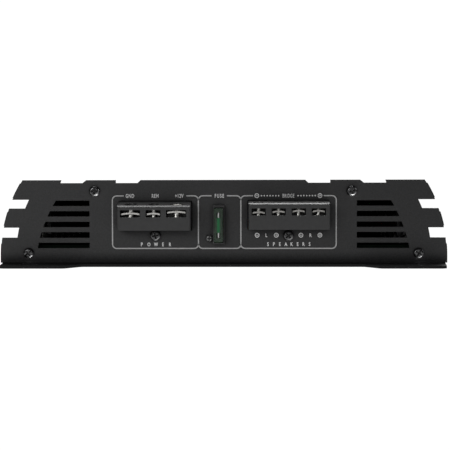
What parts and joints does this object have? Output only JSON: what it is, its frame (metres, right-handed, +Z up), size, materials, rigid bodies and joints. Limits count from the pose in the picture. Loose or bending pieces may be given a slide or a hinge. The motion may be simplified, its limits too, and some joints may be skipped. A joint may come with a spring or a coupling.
{
  "type": "car amplifier",
  "caption": "Low black car audio amplifier: ribbed heat-sink case, folded end plates with slotted feet, screw terminals, blade fuse, phono inputs and control knobs.",
  "frame": {"origin": "centre of the case in plan, on the plane of the flanges' undersides", "axes": "+X to the right seen from the terminal end, +Y from the terminal end to the control end, +Z up"},
  "size_m": [0.2512, 0.234, 0.0483],
  "materials": {
    "black_anodised": "fine extrusion lines, satin black anodised",
    "black_powder_coat": "satin powder coat with a fine grain",
    "black_zinc": "black zinc plated",
    "board": "glass-epoxy laminate with dark green solder mask",
    "moulded_black": "fine moulded satin",
    "nickel": "bright nickel plate",
    "tinned": "tinned",
    "gold": "gold plated",
    "fuse_green": "clear green moulding",
    "ferrite": "epoxy-coated ferrite",
    "enamelled_copper": "enamelled copper",
    "enamelled_copper_fine": "enamelled copper",
    "epoxy_black": "moulded epoxy",
    "pad_grey": "silicone sheet",
    "zinc_steel": "zinc plated",
    "black_oxide": "black oxide",
    "can_sleeve": "shrunk plastic sleeve, bare aluminium top",
    "ceramic": "cement ceramic",
    "white_plastic": "moulded satin",
    "red_plastic": "moulded satin",
    "green_lens": "clear green lens",
    "red_lens": "clear red lens"
  },
  "bodies": {
    "chassis": {"heat_sink": "black_anodised", "terminal_end_plate": "black_powder_coat", "control_end_plate": "black_powder_coat", "bottom_cover": "black_powder_coat", "end_plate_screws": "black_zinc", "bottom_cover_screws": "black_zinc", "circuit_board": "board", "power_terminal_body": "moulded_black", "power_terminal_contacts": "nickel", "speaker_terminal_body": "moulded_black", "speaker_terminal_contacts": "nickel", "connector_screws": "black_zinc", "fuse_holder": "moulded_black", "fuse_holder_screw": "black_zinc", "fuse_contacts": "tinned", "toroid_core": "ferrite", "toroid_primary": "enamelled_copper", "toroid_secondary": "enamelled_copper_fine", "toroid_clamp_disc": "zinc_steel", "toroid_bolt": "zinc_steel", "choke_core": "ferrite", "choke_winding": "enamelled_copper", "transistor_bodies": "epoxy_black", "transistor_leads": "tinned", "insulating_pads": "pad_grey", "clamp_bars": "black_oxide", "clamp_bar_screws": "black_oxide", "supply_capacitors": "can_sleeve", "rail_capacitors": "can_sleeve", "control_chips": "epoxy_black", "power_resistors": "ceramic", "rca_jack_housing": "moulded_black", "rca_shells": "nickel", "rca_centre_contacts": "gold", "rca_insulators_left": "white_plastic", "rca_insulators_right": "red_plastic", "pot_bodies": "moulded_black", "switch_frame": "tinned", "power_led": "green_lens", "protect_led": "red_lens"},
    "fuse": {"fuse_body": "fuse_green", "fuse_blades": "tinned"},
    "ground_clamp_plate": {"ground_clamp": "nickel"},
    "ground_clamp_screw": {"ground_screw": "nickel"},
    "remote_clamp_plate": {"remote_clamp": "nickel"},
    "remote_clamp_screw": {"remote_screw": "nickel"},
    "supply_clamp_plate": {"supply_clamp": "nickel"},
    "supply_clamp_screw": {"supply_screw": "nickel"},
    "speaker_1_clamp_plate": {"speaker_1_clamp": "nickel"},
    "speaker_1_clamp_screw": {"speaker_1_screw": "nickel"},
    "speaker_2_clamp_plate": {"speaker_2_clamp": "nickel"},
    "speaker_2_clamp_screw": {"speaker_2_screw": "nickel"},
    "speaker_3_clamp_plate": {"speaker_3_clamp": "nickel"},
    "speaker_3_clamp_screw": {"speaker_3_screw": "nickel"},
    "speaker_4_clamp_plate": {"speaker_4_clamp": "nickel"},
    "speaker_4_clamp_screw": {"speaker_4_screw": "nickel"},
    "level_knob": {"level_knob": "moulded_black"},
    "low_pass_knob": {"low_pass_knob": "moulded_black"},
    "bass_boost_knob": {"bass_boost_knob": "moulded_black"},
    "crossover_switch": {"switch_slider": "moulded_black"}
  },
  "joints": [
    {"name": "fuse_pull", "type": "slide", "parent": "chassis", "child": "fuse", "axis": [0, -1, 0], "range_m": [0, 0.025]},
    {"name": "ground_clamp_travel", "type": "slide", "parent": "chassis", "child": "ground_clamp_plate", "axis": [0, 0, -1], "range_m": [-0.0013, 0.00105]},
    {"name": "ground_screw_turn", "type": "hinge", "parent": "ground_clamp_plate", "child": "ground_clamp_screw", "pos_m": [-0.05075, -0.1046, 0.0323], "axis": [0, 0, -1], "range_deg": [-669, 541]},
    {"name": "remote_clamp_travel", "type": "slide", "parent": "chassis", "child": "remote_clamp_plate", "axis": [0, 0, -1], "range_m": [-0.0014, 0.00095]},
    {"name": "remote_screw_turn", "type": "hinge", "parent": "remote_clamp_plate", "child": "remote_clamp_screw", "pos_m": [-0.03805, -0.1046, 0.0322], "axis": [0, 0, -1], "range_deg": [-1008, 685]},
    {"name": "supply_clamp_travel", "type": "slide", "parent": "chassis", "child": "supply_clamp_plate", "axis": [0, 0, -1], "range_m": [-0.00045, 0.0019]},
    {"name": "supply_screw_turn", "type": "hinge", "parent": "supply_clamp_plate", "child": "supply_clamp_screw", "pos_m": [-0.02535, -0.1046, 0.03315], "axis": [0, 0, -1], "range_deg": [-232, 978]},
    {"name": "speaker_1_clamp_travel", "type": "slide", "parent": "chassis", "child": "speaker_1_clamp_plate", "axis": [0, 0, -1], "range_m": [-0.00155, 0.0007]},
    {"name": "speaker_1_screw_turn", "type": "hinge", "parent": "speaker_1_clamp_plate", "child": "speaker_1_clamp_screw", "pos_m": [0.02, -0.1046, 0.0329], "axis": [0, 0, -1], "range_deg": [-1116, 505]},
    {"name": "speaker_2_clamp_travel", "type": "slide", "parent": "chassis", "child": "speaker_2_clamp_plate", "axis": [0, 0, -1], "range_m": [-0.0011, 0.00115]},
    {"name": "speaker_2_screw_turn", "type": "hinge", "parent": "speaker_2_clamp_plate", "child": "speaker_2_clamp_screw", "pos_m": [0.031, -0.1046, 0.03335], "axis": [0, 0, -1], "range_deg": [-792, 829]},
    {"name": "speaker_3_clamp_travel", "type": "slide", "parent": "chassis", "child": "speaker_3_clamp_plate", "axis": [0, 0, -1], "range_m": [-0.0008, 0.00145]},
    {"name": "speaker_3_screw_turn", "type": "hinge", "parent": "speaker_3_clamp_plate", "child": "speaker_3_clamp_screw", "pos_m": [0.042, -0.1046, 0.03365], "axis": [0, 0, -1], "range_deg": [-576, 1045]},
    {"name": "speaker_4_clamp_travel", "type": "slide", "parent": "chassis", "child": "speaker_4_clamp_plate", "axis": [0, 0, -1], "range_m": [-0.0008, 0.00145]},
    {"name": "speaker_4_screw_turn", "type": "hinge", "parent": "speaker_4_clamp_plate", "child": "speaker_4_clamp_screw", "pos_m": [0.053, -0.1046, 0.03365], "axis": [0, 0, -1], "range_deg": [-576, 1045]},
    {"name": "level_knob_turn", "type": "hinge", "parent": "chassis", "child": "level_knob", "pos_m": [0.008, 0.1, 0.0235], "axis": [0, 1, 0], "range_deg": [-150, 150]},
    {"name": "low_pass_knob_turn", "type": "hinge", "parent": "chassis", "child": "low_pass_knob", "pos_m": [0.028, 0.1, 0.0235], "axis": [0, 1, 0], "range_deg": [-150, 150]},
    {"name": "bass_boost_knob_turn", "type": "hinge", "parent": "chassis", "child": "bass_boost_knob", "pos_m": [0.048, 0.1, 0.0235], "axis": [0, 1, 0], "range_deg": [-150, 150]},
    {"name": "crossover_slide", "type": "slide", "parent": "chassis", "child": "crossover_switch", "axis": [1, 0, 0], "range_m": [-0.002, 0.002]}
  ],
  "couplings": [
    {"joint": "ground_screw_turn", "follows": "ground_clamp_travel", "rad_per_m": 8976},
    {"joint": "remote_screw_turn", "follows": "remote_clamp_travel", "rad_per_m": 12566},
    {"joint": "supply_screw_turn", "follows": "supply_clamp_travel", "rad_per_m": 8976},
    {"joint": "speaker_1_screw_turn", "follows": "speaker_1_clamp_travel", "rad_per_m": 12566},
    {"joint": "speaker_2_screw_turn", "follows": "speaker_2_clamp_travel", "rad_per_m": 12566},
    {"joint": "speaker_3_screw_turn", "follows": "speaker_3_clamp_travel", "rad_per_m": 12566},
    {"joint": "speaker_4_screw_turn", "follows": "speaker_4_clamp_travel", "rad_per_m": 12566}
  ]
}
